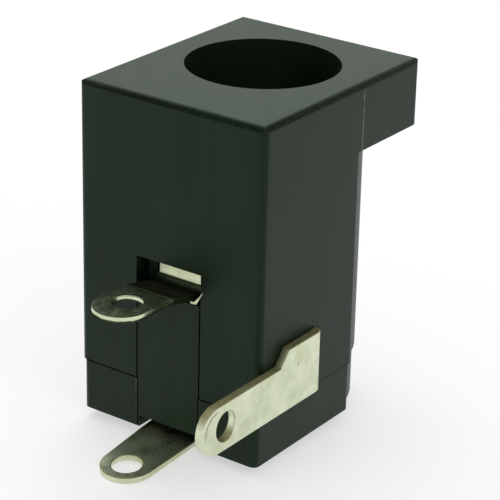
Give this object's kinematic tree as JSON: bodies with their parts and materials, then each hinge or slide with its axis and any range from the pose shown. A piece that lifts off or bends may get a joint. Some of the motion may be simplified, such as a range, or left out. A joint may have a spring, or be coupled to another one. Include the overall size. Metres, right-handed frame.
{
  "type": "dc barrel jack",
  "caption": "Board-mounted barrel power jack: moulded housing with a round socket, centre pin, sprung sleeve contact, switch contact and terminal tails with eyelets.",
  "frame": {"origin": "centre of the socket's mouth, on the socket's axis", "axes": "+Z out of the mouth along the socket's axis, -Y towards the circuit board, +X towards the side with the switch terminal"},
  "size_m": [0.0094, 0.015, 0.0148],
  "materials": {
    "housing_plastic": "satin moulded thermoplastic",
    "cap_plastic": "satin moulded thermoplastic",
    "pin_metal": "turned brass, nickel plated",
    "terminal_metal": "stamped brass, tin plated",
    "spring_metal": "stamped spring bronze, tin plated"
  },
  "bodies": {
    "root": {"housing": "housing_plastic", "rear_cap": "cap_plastic", "centre_pin": "pin_metal", "pin_terminal": "terminal_metal", "spring_terminal": "spring_metal", "switch_terminal": "terminal_metal"}
  },
  "joints": []
}
